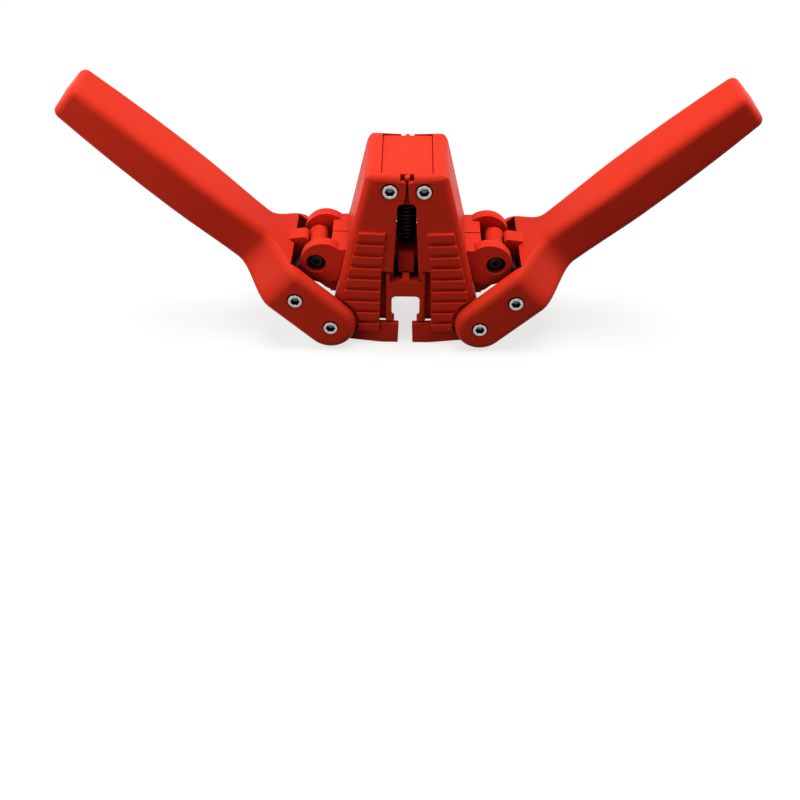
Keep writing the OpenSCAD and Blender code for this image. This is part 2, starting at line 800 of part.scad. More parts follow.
function tip_inset(s) = let (past_end = max(0, s - lever_len + tip_r))
    tip_r - sqrt(max(0, tip_r * tip_r - past_end * past_end));
function loft_section(s) = let (inset = 0.96 * tip_inset(s))
    loft_ring(s, half_width(s) - inset, half_height(s) - inset, lever_r - inset);

module lever_loft() {
    rings = [for (s = loft_stations) loft_section(s)];
    count = 4 * ring_n;
    last = len(rings) - 1;
    points = [for (ring = rings) for (p = ring) p];
    function at_ring(k, j) = k * count + j % count;
    sides = [for (k = [0 : last - 1]) for (j = [0 : count - 1]) for (half = [0, 1])
        half == 0 ? [at_ring(k, j), at_ring(k + 1, j), at_ring(k + 1, j + 1)]
                  : [at_ring(k, j), at_ring(k + 1, j + 1), at_ring(k, j + 1)]];
    start_cap = [[for (j = [0 : count - 1]) at_ring(0, j)]];
    end_cap = [[for (j = [0 : count - 1]) at_ring(last, count - 1 - j)]];
    polyhedron(points = points, faces = concat(start_cap, sides, end_cap));
}

// Round end of a cheek, with a rounded rim on its outer face
module cheek_end() {
    out = cheek_t - skin;
    translate([0, -cheek_in, -lever_drop])
        rotate([90, 0, 0])
            rotate_extrude()
                difference() {
                    translate([0, -past]) square([cheek_r - skin, out + past]);
                    translate([cheek_r - skin - lever_r, out - lever_r])
                        difference() {
                            square(lever_r + past);
                            circle(r = lever_r, $fn = 24);
                        }
                }
}

// Rounded lug on the web that stops against the link's barrel
module stop_lug() {
    end_r = 2.6;
    root_r = 4;
    hull() {
        at([link_along + lug_reach + end_r, link_above - end_r / 2]) rod_y(end_r, lug_w, $fn = 32);
        at([web_start + root_r / 2, cheek_r - lever_drop - root_r - past]) rod_y(root_r, lug_w, $fn = 32);
    }
}

module on_lever() { at(pivot) rotate([0, -lever_rise, 0]) children(); }

module lever(side) {
    bore_r = shoulder_d / 2 + run_gap;
    color(red)
        on_side(side)
            on_lever()
                difference() {
                    union() {
                        difference() {
                            union() {
                                lever_loft();
                                both_faces() cheek_end();
                            }
                            translate([-2 * cheek_r, -cheek_in, -2 * cheek_r])
                                cube([2 * cheek_r + web_start, 2 * cheek_in, 4 * cheek_r]);
                        }
                        stop_lug();
                    }
                    both_faces()
                        for (s = [0, link_arm]) head_bore([s, 0], cheek_out, bore_r);
                }
}

// Link: a barrel between the ears, a wide knuckle between the cheeks and a bar that joins them
link_span = link_top - link_low;
link_lean = atan2(link_span.y, link_span.x);
barrel_half = ear_gap_w / 2 - slide_gap;

module link(side) {
    bar_w = 1.6 * barrel_r;
    color(red)
        on_side(side)
            difference() {
                union() {
                    at(link_top) rod_y(barrel_r, 2 * barrel_half);
                    at(link_low) rod_y(knuckle_r, 2 * link_seat);
                    at(link_low)
                        rotate([0, -link_lean, 0])
                            translate([norm(link_span) / 2, 0, 0])
                                cube([norm(link_span), 2 * barrel_half, bar_w], center = true);
                }
                at(link_top) rod_y(pin_r + seat_gap, tower_d);
                both_faces()
                    at(link_low)
                        translate([0, -link_seat + deep / 2, 0]) rod_y(thread_d / 2 + seat_gap, deep + past);
            }
}

module link_pin(side) {
    half = ear_out - pin_sunk;
    chamfer = 0.6;
    color(black)
        on_side(side)
            at(link_top)
                rotate([90, 0, 0])
                    difference() {
                        union() {
                            cylinder(r = pin_r, h = 2 * half - 2 * chamfer, center = true);
                            for (end = [0, 1])
                                mirror([0, 0, end])
                                    translate([0, 0, half - chamfer])
                                        cylinder(r1 = pin_r, r2 = pin_r - chamfer, h = chamfer);
                        }
                        for (end = [0, 1])
                            mirror([0, 0, end])
                                translate([0, 0, half - pin_socket_h])
                                    cylinder(d = pin_socket_d, h = pin_socket_h + past, $fn = 6);
                    }
}

frame();
screw_pair(-1, hinge, half_d, block_y);  // left_hinge_screws
screw_pair(1, hinge, half_d, block_y);  // right_hinge_screws
return_spring();
jaw(-1);  // left_jaw
jaw(1);  // right_jaw
grip_plate(-1);  // left_grip_plate
grip_plate(1);  // right_grip_plate
plate_screws(-1);  // left_plate_screws
plate_screws(1);  // right_plate_screws
screw_pair(-1, pivot, cheek_out, half_d);  // left_pivot_screws
screw_pair(1, pivot, cheek_out, half_d);  // right_pivot_screws
carriage();
bell();
cap_magnet();
bell_screw();
lever(-1);  // left_lever
lever(1);  // right_lever
link(-1);  // left_link
link(1);  // right_link
link_pin(-1);  // left_link_pin
link_pin(1);  // right_link_pin
screw_pair(-1, link_low, cheek_out, link_seat);  // left_link_screws
screw_pair(1, link_low, cheek_out, link_seat);  // right_link_screws
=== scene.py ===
"""Looks of the twin-lever crown capper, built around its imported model."""

import json
import math

import bmesh
import bpy
from mathutils import Matrix, Vector


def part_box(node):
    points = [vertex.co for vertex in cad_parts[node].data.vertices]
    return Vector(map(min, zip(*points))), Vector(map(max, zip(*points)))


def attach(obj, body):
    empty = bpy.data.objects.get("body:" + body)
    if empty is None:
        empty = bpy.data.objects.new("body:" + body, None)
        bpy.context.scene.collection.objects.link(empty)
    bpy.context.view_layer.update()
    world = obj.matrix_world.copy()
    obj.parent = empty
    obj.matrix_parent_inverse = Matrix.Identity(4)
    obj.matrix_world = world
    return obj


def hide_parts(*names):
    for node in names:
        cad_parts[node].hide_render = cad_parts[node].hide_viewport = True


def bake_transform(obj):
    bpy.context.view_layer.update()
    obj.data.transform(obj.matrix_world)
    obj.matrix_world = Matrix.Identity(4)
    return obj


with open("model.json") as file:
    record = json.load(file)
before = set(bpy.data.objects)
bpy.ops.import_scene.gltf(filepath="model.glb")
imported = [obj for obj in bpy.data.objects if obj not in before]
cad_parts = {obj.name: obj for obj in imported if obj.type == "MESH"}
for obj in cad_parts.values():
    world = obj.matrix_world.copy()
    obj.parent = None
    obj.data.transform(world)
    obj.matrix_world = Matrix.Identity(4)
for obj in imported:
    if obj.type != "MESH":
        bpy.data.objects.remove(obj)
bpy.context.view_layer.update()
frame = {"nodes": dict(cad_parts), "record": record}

bl_info = {
    "name": "Twin-lever crown capper",
    "version": (1, 0, 0),
    "blender": (4, 5, 0),
    "location": "3D View > Sidebar > Capper",
    "description": "Dresses the packed capper and sets its studio",
    "category": "Object",
}

MM = 0.001
NODES = frame["nodes"]

# Pieces of one kind share a finish
JAWS = ("left_jaw", "right_jaw")
MOULDINGS = ("frame", "carriage", "left_link", "right_link")
LEVERS = ("left_lever", "right_lever")
SCREWS = tuple(
    side + "_" + place + "_screws"
    for side in ("left", "right")
    for place in ("hinge", "pivot", "link", "plate")
)
GRIP_PLATES = ("left_grip_plate", "right_grip_plate")
BLACKENED = ("bell", "bell_screw", "left_link_pin", "right_link_pin")
SPRING_LOW, SPRING_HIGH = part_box("return_spring")
WIRE_D = 1.6 * MM

# What carries each imported piece
BODY_OF = {
    name: body
    for body, names in frame["record"]["behaviour"]["bodies"].items()
    for name in names
}

# Corners nearer than this are one corner, and faces within this angle are one flat
SAME_CORNER = 0.002 * MM
SAME_FLAT = math.radians(0.5)
# An edge that turns more than this is rounded
SHARP = math.radians(32)
# Edges shorter than this are left over from cutting the solids
SLIVER = 0.03 * MM
# Two edges that meet straighter than this run on as one
RUNS_ON = math.radians(140)
# Room for one rounding, or for one from each side, in widths of the rounding
ONE_SIDE = 1.2
BOTH_SIDES = 2.3
# Cosines of a level face, and of two edges that face each other over a strip
LEVEL = 0.95
FACING = -0.3
# Steps across a rounding, and the profile that makes it circular
ROUND_STEPS = 4
CIRCULAR = 0.5

# The levers take the nylon that the other mouldings were given
NYLON = "moulded_glass_filled_nylon"
# Rays that feel for near walls in a recess, where shade is painted into the colour
RECESS_RAYS = 8

# Shares of the floor's colour that bounce onto the piece, and that show the piece's shadow
FLOOR_BOUNCE = 0.1
FLOOR_SHADOW = 0.34
# The floor's own glow near the piece and far from it, and where it rises, in metres from the middle
GLOW_NEAR = 0.78
GLOW_FAR = 1.0
GLOW_FROM = 0.35
GLOW_TO = 1.3


def linear(code):
    """An sRGB hex colour as linear red, green and blue."""
    parts = [int(code[i:i + 2], 16) / 255 for i in (1, 3, 5)]
    return tuple(c / 12.92 if c <= 0.04045 else ((c + 0.055) / 1.055) ** 2.4 for c in parts)


def per_metre(size_mm):
    """Texture scale that repeats once in a real size."""
    return 1 / (size_mm * MM)


class CapperFinish(bpy.types.PropertyGroup):
    """Colours and edge sizes of the capper."""

    nylon_red: bpy.props.FloatVectorProperty(
        name="Nylon red", description="Colour of the moulded pieces",
        subtype="COLOR", size=3, default=linear("#E2341E"))
    zinc: bpy.props.FloatVectorProperty(
        name="Zinc", description="Colour of the plated screws",
        subtype="COLOR", size=3, default=linear("#A9A7A3"))
    steel: bpy.props.FloatVectorProperty(
        name="Steel", description="Colour of the grip plates",
        subtype="COLOR", size=3, default=linear("#B4B6B8"))
    oxide_black: bpy.props.FloatVectorProperty(
        name="Oxide black", description="Colour of the spring, the bell, its screw and the link pins",
        subtype="COLOR", size=3, default=linear("#17171A"))
    ferrite: bpy.props.FloatVectorProperty(
        name="Ferrite", description="Colour of the cap magnet",
        subtype="COLOR", size=3, default=linear("#2B2C2F"))
    tower_rim: bpy.props.FloatProperty(
        name="Tower rim", description="Rounding of the outer rim of the jaw tops",
        default=3.6 * MM, min=0, unit="LENGTH")
    moulded_edges: bpy.props.FloatVectorProperty(
        name="Moulded edges", description="Roundings of the moulded edges, tried from wide to fine",
        default=(0.55 * MM, 0.3 * MM, 0.15 * MM), min=0, unit="LENGTH")
    metal_edges: bpy.props.FloatVectorProperty(
        name="Metal edges", description="Roundings of the metal edges, tried from wide to fine",
        default=(0.35 * MM, 0.2 * MM, 0.1 * MM), min=0, unit="LENGTH")


class CapperSpring(bpy.types.PropertyGroup):
    """Sizes of the return spring's wire."""

    wire_d: bpy.props.FloatProperty(
        name="Wire", description="Diameter of the spring wire", default=WIRE_D, unit="LENGTH")
    coil_d: bpy.props.FloatProperty(
        name="Coil", description="Mean diameter of the coil",
        default=SPRING_HIGH.x - SPRING_LOW.x - WIRE_D, unit="LENGTH")
    curls: bpy.props.IntProperty(
        name="Curls", description="Number of curls between the two seats", default=13, min=3)


class CapperStage(bpy.types.PropertyGroup):
    """Floor, light and camera."""

    floor_white: bpy.props.FloatVectorProperty(
        name="Floor", description="Colour of the floor",
        subtype="COLOR", size=3, default=linear("#F6F6F4"))
    key_power: bpy.props.FloatProperty(
        name="Overhead light", description="Power of the soft light above",
        default=9.6, unit="POWER")
    fill_power: bpy.props.FloatProperty(
        name="Front light", description="Power of the soft light at the front left",
        default=0.7, unit="POWER")
    side_power: bpy.props.FloatProperty(
        name="Side lights", description="Power of each soft light at the sides",
        default=3.0, unit="POWER")
    sky: bpy.props.FloatProperty(
        name="Sky", description="Strength of the even light from all round", default=0.04, min=0)
    lens: bpy.props.FloatProperty(
        name="Lens", description="Focal length of the camera in millimetres", default=46.8)


def add(tree, kind, settings=None, sockets=None):
    """One node with its settings; a socket takes a value or another node's output."""
    made = tree.nodes.new(kind)
    for name, value in (settings or {}).items():
        setattr(made, name, value)
    for name, value in (sockets or {}).items():
        if isinstance(value, bpy.types.NodeSocket):
            tree.links.new(value, made.inputs[name])
        else:
            made.inputs[name].default_value = value
    return made


def new_material(name):
    """A material and its empty node tree."""
    material = bpy.data.materials.new(name)
    material.use_nodes = True
    material.node_tree.nodes.clear()
    return material, material.node_tree


def rgba(colour):
    """A colour with full alpha."""
    return (*colour, 1.0)


def shade(colour, factor):
    """A darker or paler colour with full alpha."""
    return rgba([min(1.0, c * factor) for c in colour])


def painted_recess_shade(tree, tint, reach_mm, shut, clear, least):
    """Painted shade in sockets, slots and other recesses: the tint falls to a share of itself where walls
    are near.
    """
    open_air = add(tree, "ShaderNodeAmbientOcclusion", {"samples": RECESS_RAYS}, {
        "Distance": reach_mm * MM})
    share = add(tree, "ShaderNodeMapRange", {"interpolation_type": "SMOOTHSTEP"}, {
        "Value": open_air.outputs["AO"], "From Min": shut, "From Max": clear,
        "To Min": least, "To Max": 1.0})
    dark = add(tree, "ShaderNodeVectorMath", {"operation": "SCALE"}, {
        0: tint, "Scale": share.outputs["Result"]})
    return dark.outputs["Vector"]


def moulded_nylon(colour):
    """Glass-filled nylon from a spark-eroded mould: satin, with a fine grain, cloudy flow marks and painted
    shade in slots and recesses.
    """
    material, tree = new_material(NYLON)
    place = add(tree, "ShaderNodeTexCoord").outputs["Object"]
    # Flow marks of the filled melt are about 14 mm wide
    flow = add(tree, "ShaderNodeTexNoise", sockets={
        "Vector": place, "Scale": per_metre(14), "Detail": 3.0, "Roughness": 0.55})
    # The real eroded grain is about 0.1 mm; it is drawn at 0.7 mm so that it shows
    grain = add(tree, "ShaderNodeTexNoise", sockets={
        "Vector": place, "Scale": per_metre(0.7), "Detail": 2.0, "Roughness": 0.6})
    tint = add(tree, "ShaderNodeMix", {"data_type": "RGBA"}, {
        "Factor": flow.outputs["Fac"], "A": shade(colour, 0.9), "B": shade(colour, 1.08)})
    # Painted shade: slots, hollows and gaps darken where walls lie within 25 mm
    tint = painted_recess_shade(tree, tint.outputs["Result"], reach_mm=25, shut=0.15, clear=0.55, least=0.12)
    gloss = add(tree, "ShaderNodeMapRange", sockets={
        "Value": flow.outputs["Fac"], "From Min": 0.3, "From Max": 0.7, "To Min": 0.4, "To Max": 0.52})
    relief = add(tree, "ShaderNodeBump", sockets={
        "Height": grain.outputs["Fac"], "Strength": 0.18, "Distance": 0.06 * MM})
    shader = add(tree, "ShaderNodeBsdfPrincipled", sockets={
        "Base Color": tint, "Roughness": gloss.outputs["Result"],
        "Normal": relief.outputs["Normal"], "IOR": 1.53, "Specular IOR Level": 0.06})
    add(tree, "ShaderNodeOutputMaterial", sockets={"Surface": shader.outputs["BSDF"]})
    return material


def bright_zinc(colour):
    """Bright zinc plate on a turned head: mirror-like, with faint cloudy passivation and painted shade in
    the sockets.
    """
    material, tree = new_material("bright_zinc_plate")
    place = add(tree, "ShaderNodeTexCoord").outputs["Object"]
    cloud = add(tree, "ShaderNodeTexNoise", sockets={
        "Vector": place, "Scale": per_metre(2.5), "Detail": 3.0})
    tint = add(tree, "ShaderNodeMix", {"data_type": "RGBA"}, {
        "Factor": cloud.outputs["Fac"], "A": shade(colour, 0.86), "B": shade(colour, 1.06)})
    # Painted shade: the hex sockets go black where their walls lie within 3 mm
    tint = painted_recess_shade(tree, tint.outputs["Result"], reach_mm=3, shut=0.5, clear=0.95, least=0)
    gloss = add(tree, "ShaderNodeMapRange", sockets={
        "Value": cloud.outputs["Fac"], "To Min": 0.12, "To Max": 0.28})
    shader = add(tree, "ShaderNodeBsdfPrincipled", sockets={
        "Base Color": tint, "Roughness": gloss.outputs["Result"], "Metallic": 1.0})
    add(tree, "ShaderNodeOutputMaterial", sockets={"Surface": shader.outputs["BSDF"]})
    return material


def turned_steel(colour):
    """Steel turned on a lathe or cut from strip: fine tool lines under a soft metal sheen."""
    material, tree = new_material("turned_tool_steel")
    place = add(tree, "ShaderNodeTexCoord").outputs["Object"]
    # Tool lines lie about 0.4 mm apart along the height and run long round the piece
    stretch = add(tree, "ShaderNodeMapping", sockets={"Vector": place, "Scale": (0.06, 0.06, 1.0)})
    lines = add(tree, "ShaderNodeTexNoise", sockets={
        "Vector": stretch.outputs["Vector"], "Scale": per_metre(0.4), "Detail": 2.0})
    tint = add(tree, "ShaderNodeMix", {"data_type": "RGBA"}, {
        "Factor": lines.outputs["Fac"], "A": shade(colour, 0.8), "B": shade(colour, 1.1)})
    gloss = add(tree, "ShaderNodeMapRange", sockets={
        "Value": lines.outputs["Fac"], "To Min": 0.24, "To Max": 0.42})
    relief = add(tree, "ShaderNodeBump", sockets={
        "Height": lines.outputs["Fac"], "Strength": 0.15, "Distance": 0.03 * MM})
    shader = add(tree, "ShaderNodeBsdfPrincipled", sockets={
        "Base Color": tint.outputs["Result"], "Roughness": gloss.outputs["Result"],
        "Normal": relief.outputs["Normal"], "Metallic": 1.0})
    add(tree, "ShaderNodeOutputMaterial", sockets={"Surface": shader.outputs["BSDF"]})
    return material


def black_oxide(colour):
    """Steel with a black oxide skin: dark, oily and half glossy."""
    material, tree = new_material("black_oxide_steel")
    place = add(tree, "ShaderNodeTexCoord").outputs["Object"]
    patches = add(tree, "ShaderNodeTexNoise", sockets={
        "Vector": place, "Scale": per_metre(3), "Detail": 4.0})
    tint = add(tree, "ShaderNodeMix", {"data_type": "RGBA"}, {
        "Factor": patches.outputs["Fac"], "A": shade(colour, 0.6), "B": shade(colour, 1.9)})
    gloss = add(tree, "ShaderNodeMapRange", sockets={
        "Value": patches.outputs["Fac"], "To Min": 0.28, "To Max": 0.46})
    shader = add(tree, "ShaderNodeBsdfPrincipled", sockets={
        "Base Color": tint.outputs["Result"], "Roughness": gloss.outputs["Result"], "Metallic": 0.7})
    add(tree, "ShaderNodeOutputMaterial", sockets={"Surface": shader.outputs["BSDF"]})
    return material


def phosphated_wire(colour):
    """Spring wire with a phosphate skin: matt black with a faint grey bloom."""
    material, tree = new_material("phosphated_spring_wire")
    place = add(tree, "ShaderNodeTexCoord").outputs["Object"]
    bloom = add(tree, "ShaderNodeTexNoise", sockets={
        "Vector": place, "Scale": per_metre(1.2), "Detail": 3.0})
    tint = add(tree, "ShaderNodeMix", {"data_type": "RGBA"}, {
        "Factor": bloom.outputs["Fac"], "A": shade(colour, 0.7), "B": shade(colour, 1.8)})
    shader = add(tree, "ShaderNodeBsdfPrincipled", sockets={
        "Base Color": tint.outputs["Result"], "Roughness": 0.5, "Specular IOR Level": 0.3})
    add(tree, "ShaderNodeOutputMaterial", sockets={"Surface": shader.outputs["BSDF"]})
    return material


def sintered_ferrite(colour):
    """Pressed and sintered ferrite: matt charcoal with a grainy face."""
    material, tree = new_material("sintered_ferrite")
    place = add(tree, "ShaderNodeTexCoord").outputs["Object"]
    grit = add(tree, "ShaderNodeTexNoise", sockets={
        "Vector": place, "Scale": per_metre(0.6), "Detail": 4.0})
    tint = add(tree, "ShaderNodeMix", {"data_type": "RGBA"}, {
        "Factor": grit.outputs["Fac"], "A": shade(colour, 0.7), "B": shade(colour, 1.4)})
    relief = add(tree, "ShaderNodeBump", sockets={
        "Height": grit.outputs["Fac"], "Strength": 0.3, "Distance": 0.05 * MM})
    shader = add(tree, "ShaderNodeBsdfPrincipled", sockets={
        "Base Color": tint.outputs["Result"], "Normal": relief.outputs["Normal"], "Roughness": 0.62})
    add(tree, "ShaderNodeOutputMaterial", sockets={"Surface": shader.outputs["BSDF"]})
    return material


def is_sharp(edge):
    """True where two faces meet at more than a soft bend."""
    return edge.is_manifold and edge.calc_face_angle() > SHARP


def is_outer_rim(edge, top):
    """True where a level top meets a wall that looks away from the tower's middle."""
    if not is_sharp(edge) or min(v.co.z for v in edge.verts) < top - SAME_CORNER:
        return False
    level, wall = sorted((face.normal for face in edge.link_faces), key=lambda n: -n.z)
    middle = (edge.verts[0].co + edge.verts[1].co) / 2
    return level.z > LEVEL and wall.x * middle.x + wall.y * middle.y > 0


def inward(loop):
    """Direction from an edge into one of its faces."""
    along = loop.link_loop_next.vert.co - loop.vert.co
    return loop.face.normal.cross(along).normalized()


def apart(edge, other):
    """Least distance between two edges, from the ends and the middle of each."""
    least = []
    for one, two in ((edge, other), (other, edge)):
        start, end = (v.co for v in two.verts)
        along = end - start
        for share in (0, 0.5, 1):
            point = one.verts[0].co.lerp(one.verts[1].co, share)
            t = max(0, min(1, (point - start).dot(along) / along.length_squared))
            least.append((start + along * t - point).length)
    return min(least)


def room_at_ends(edge, loop, chosen, width):
    """True if the face has room for the rounding at both ends of the edge."""
    ends = (
        (loop.vert, loop.link_loop_prev.edge),
        (loop.link_loop_next.vert, loop.link_loop_next.edge),
    )
    for vert, other in ends:
        turn = (edge.other_vert(vert).co - vert.co).angle(other.other_vert(vert).co - vert.co, 0)
        span = other.calc_length()
        if other not in chosen:
            # The rounding cuts this edge short, perhaps from both of its ends
            far = other.other_vert(vert)
            need = BOTH_SIDES if any(e in chosen for e in far.link_edges) else ONE_SIDE
            roomy = span * math.sin(turn) > need * width
        elif turn > RUNS_ON:
            # The rounding runs on round a soft bend
            roomy = span > ONE_SIDE * width * (math.pi - turn)
        else:
            # Two roundings meet in a corner
            roomy = min(span, edge.calc_length()) > BOTH_SIDES * width
        if not roomy:
            return False
    return True


def room_across(edge, loop, chosen, width):
    """True if no chosen edge faces this one over a strip that two roundings would fill."""
    here = inward(loop)
    for far in loop.face.loops:
        facing = far.edge in chosen and here.dot(inward(far)) < FACING
        if facing and apart(edge, far.edge) < BOTH_SIDES * width:
            return False
    return True


def edges_with_room(wanted, width):
    """The wanted edges that can take a rounding of this width beside each other."""
    chosen = set(wanted)
    doubtful = chosen
    while doubtful:
        narrow = {
            edge for edge in doubtful
            if not all(
                room_at_ends(edge, loop, chosen, width) and room_across(edge, loop, chosen, width)
                for loop in edge.link_loops)
        }
        chosen = chosen - narrow
        touching = {other for edge in narrow for vert in edge.verts for other in vert.link_edges}
        doubtful = touching & chosen
    return chosen


def mesh_order(edges):
    """The edges in the order of the mesh, so that each run gives the same result."""
    return sorted(edges, key=lambda edge: edge.index)


def chains(edges):
    """Groups of edges that touch each other."""
    left = set(edges)
    groups = []
    for first in mesh_order(edges):
        if first not in left:
            continue
        left.remove(first)
        group = []
        ahead = [first]
        while ahead:
            edge = ahead.pop()
            group.append(edge)
            near = {other for vert in edge.verts for other in vert.link_edges} & left
            left -= near
            ahead.extend(near)
        groups.append(mesh_order(group))
    return groups


def weld(mesh, reach):
    """Join corners that lie together and drop faces and edges with no size."""
    bmesh.ops.remove_doubles(mesh, verts=mesh.verts, dist=SAME_CORNER)
    bmesh.ops.dissolve_degenerate(mesh, edges=mesh.edges, dist=reach)


def round_edges(mesh, wanted, width):
    """Round the wanted edges chain by chain, because Blender narrows all that it rounds at once."""
    mesh.edges.index_update()
    for chain in chains(edges_with_room(wanted, width)):
        bmesh.ops.bevel(
            mesh, geom=[e for e in chain if e.is_valid], offset=width, offset_type="OFFSET",
            segments=ROUND_STEPS, profile=CIRCULAR, affect="EDGES", clamp_overlap=True,
            loop_slide=True, miter_outer="SHARP")
    weld(mesh, SAME_CORNER)


def rounded(name, material, widths, rim=0, hollow_too=True):
    """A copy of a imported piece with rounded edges, which stands for it and moves as it does."""
    mesh = bmesh.new()
    # The tool is symmetric, so a right-hand piece is the mirror image of the left-hand one
    mesh.from_mesh(NODES[name.replace("right_", "left_")].data)
    weld(mesh, SLIVER)
    bmesh.ops.dissolve_limit(mesh, angle_limit=SAME_FLAT, verts=mesh.verts, edges=mesh.edges)
    if rim > 0:
        top = max(v.co.z for v in mesh.verts)
        round_edges(mesh, [e for e in mesh.edges if is_outer_rim(e, top)], rim)
    # Edges without room for the first width get a later, finer one
    for width in widths:
        round_edges(mesh, [e for e in mesh.edges if is_sharp(e) and (hollow_too or e.is_convex)], width)
    if name.startswith("right_"):
        bmesh.ops.scale(mesh, vec=(-1, 1, 1), verts=mesh.verts)
        bmesh.ops.reverse_faces(mesh, faces=mesh.faces)
    for face in mesh.faces:
        face.smooth = True
    for edge in mesh.edges:
        edge.smooth = not is_sharp(edge)
    data = bpy.data.meshes.new(name + "_rounded")
    mesh.to_mesh(data)
    mesh.free()
    data.materials.append(material)
    piece = bpy.data.objects.new(name + "_rounded", data)
    bpy.context.scene.collection.objects.link(piece)
    piece.modifiers.new("even_normals", "WEIGHTED_NORMAL").keep_sharp = True
    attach(piece, BODY_OF[name])
    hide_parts(name)


class CAPPER_OT_mouldings(bpy.types.Operator):
    """Dress the frame, jaws, carriage and links in moulded nylon"""

    bl_idname = "capper.mouldings"
    bl_label = "Mouldings"

    def execute(self, context):
        finish = context.scene.capper_finish
        material = moulded_nylon(finish.nylon_red)
        for name in JAWS:
            rounded(name, material, finish.moulded_edges, rim=finish.tower_rim)
        for name in MOULDINGS:
            rounded(name, material, finish.moulded_edges)
        return {"FINISHED"}


class CAPPER_OT_levers(bpy.types.Operator):
    """Dress the two levers in moulded nylon"""

    bl_idname = "capper.levers"
    bl_label = "Levers"

    def execute(self, context):
        finish = context.scene.capper_finish
        material = bpy.data.materials[NYLON]
        for name in LEVERS:
            rounded(name, material, finish.moulded_edges)
        return {"FINISHED"}


class CAPPER_OT_screws(bpy.types.Operator):
    """Plate the screws"""

    bl_idname = "capper.screws"
    bl_label = "Screws"

    def execute(self, context):
        finish = context.scene.capper_finish
        material = bright_zinc(finish.zinc)
        for name in SCREWS:
            rounded(name, material, finish.metal_edges, hollow_too=False)
        return {"FINISHED"}


class CAPPER_OT_steel_pieces(bpy.types.Operator):
    """Finish the plates in steel, the bell, its screw and the pins in black oxide, the magnet in ferrite"""

    bl_idname = "capper.steel_pieces"
    bl_label = "Bell, pins, plates and magnet"

    def execute(self, context):
        finish = context.scene.capper_finish
        bright = turned_steel(finish.steel)
        for name in GRIP_PLATES:
            rounded(name, bright, finish.metal_edges, hollow_too=False)
        dark = black_oxide(finish.oxide_black)
        for name in BLACKENED:
            rounded(name, dark, finish.metal_edges, hollow_too=False)
        rounded("cap_magnet", sintered_ferrite(finish.ferrite), finish.metal_edges, hollow_too=False)
        return {"FINISHED"}


def coil_path(low, high, spring, rings):
    """Middle line of the spring: a short upright, the curls and another upright."""
    radius = spring.coil_d / 2
    rise = high - low - 2 * spring.wire_d
    count = rings * spring.curls
    points = [Vector((radius, 0, low))]
    for i in range(count + 1):
        turn = 2 * math.pi * i / rings
        height = low + spring.wire_d + rise * i / count
        points.append(Vector((radius * math.cos(turn), radius * math.sin(turn), height)))
    points.append(Vector((radius, 0, high)))
    return points


def tube(name, points, radius, sides):
    """A closed tube along a path that winds about the z axis."""
    mesh = bmesh.new()
    rings = []
    last = len(points) - 1
    for k, point in enumerate(points):
        ends = k in (0, last)
        along = Vector((0, 0, 1)) if ends else (points[k + 1] - points[k - 1]).normalized()
        out = Vector((point.x, point.y, 0)).normalized()
        out = (out - out.dot(along) * along).normalized()
        across = along.cross(out)
        ring = []
        for j in range(sides):
            turn = 2 * math.pi * j / sides
            ring.append(mesh.verts.new(point + radius * (math.cos(turn) * out + math.sin(turn) * across)))
        rings.append(ring)
    for k in range(last):
        for j in range(sides):
            n = (j + 1) % sides
            mesh.faces.new((rings[k][j], rings[k + 1][j], rings[k + 1][n], rings[k][n]))
    mesh.faces.new(rings[0])
    mesh.faces.new(list(reversed(rings[last])))
    bmesh.ops.recalc_face_normals(mesh, faces=mesh.faces)
    for face in mesh.faces:
        face.smooth = len(face.verts) == 4
    data = bpy.data.meshes.new(name)
    mesh.to_mesh(data)
    mesh.free()
    piece = bpy.data.objects.new(name, data)
    bpy.context.scene.collection.objects.link(piece)
    return piece


class CAPPER_OT_return_spring(bpy.types.Operator):
    """Wind the return spring, a tension spring between the frame and the carriage"""

    bl_idname = "capper.return_spring"
    bl_label = "Return spring"

    rings_per_curl = 28
    wire_sides = 14

    def execute(self, context):
        spring = context.scene.capper_spring
        low, high = SPRING_LOW.z, SPRING_HIGH.z
        path = coil_path(low, high, spring, self.rings_per_curl)
        wire = tube("return_spring_wire", path, spring.wire_d / 2, self.wire_sides)
        wire.data.materials.append(phosphated_wire(context.scene.capper_finish.oxide_black))
        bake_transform(wire)
        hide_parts("return_spring")
        return {"FINISHED"}


def seen_directly(tree):
    """1 for rays from the camera, off metal or through glass, and 0 for light that falls on the piece."""
    path = add(tree, "ShaderNodeLightPath")
    seen = path.outputs["Is Camera Ray"]
    for kind in ("Is Glossy Ray", "Is Transmission Ray"):
        either = add(tree, "ShaderNodeMath", {"operation": "MAXIMUM"}, {0: seen, 1: path.outputs[kind]})
        seen = either.outputs[0]
    return seen


def floor_material(colour):
    """Matt white board: white to the eye and to metal, but a weak bounce onto the piece."""
    material, tree = new_material("matt_white_board")
    bounce = add(tree, "ShaderNodeBsdfDiffuse", sockets={"Color": shade(colour, FLOOR_BOUNCE)})
    # The board turns to plain white away from the piece
    place = add(tree, "ShaderNodeNewGeometry").outputs["Position"]
    away = add(tree, "ShaderNodeVectorMath", {"operation": "LENGTH"}, {0: place})
    level = add(tree, "ShaderNodeMapRange", {"interpolation_type": "SMOOTHSTEP"}, {
        "Value": away.outputs["Value"], "From Min": GLOW_FROM, "From Max": GLOW_TO,
        "To Min": GLOW_NEAR, "To Max": GLOW_FAR})
    glow = add(tree, "ShaderNodeEmission", sockets={
        "Color": rgba(colour), "Strength": level.outputs["Result"]})
    shadowed = add(tree, "ShaderNodeBsdfDiffuse", sockets={"Color": shade(colour, FLOOR_SHADOW)})
    white = add(tree, "ShaderNodeAddShader", sockets={0: glow.outputs[0], 1: shadowed.outputs[0]})
    mix = add(tree, "ShaderNodeMixShader", sockets={
        0: seen_directly(tree), 1: bounce.outputs[0], 2: white.outputs[0]})
    add(tree, "ShaderNodeOutputMaterial", sockets={"Surface": mix.outputs[0]})
    return material


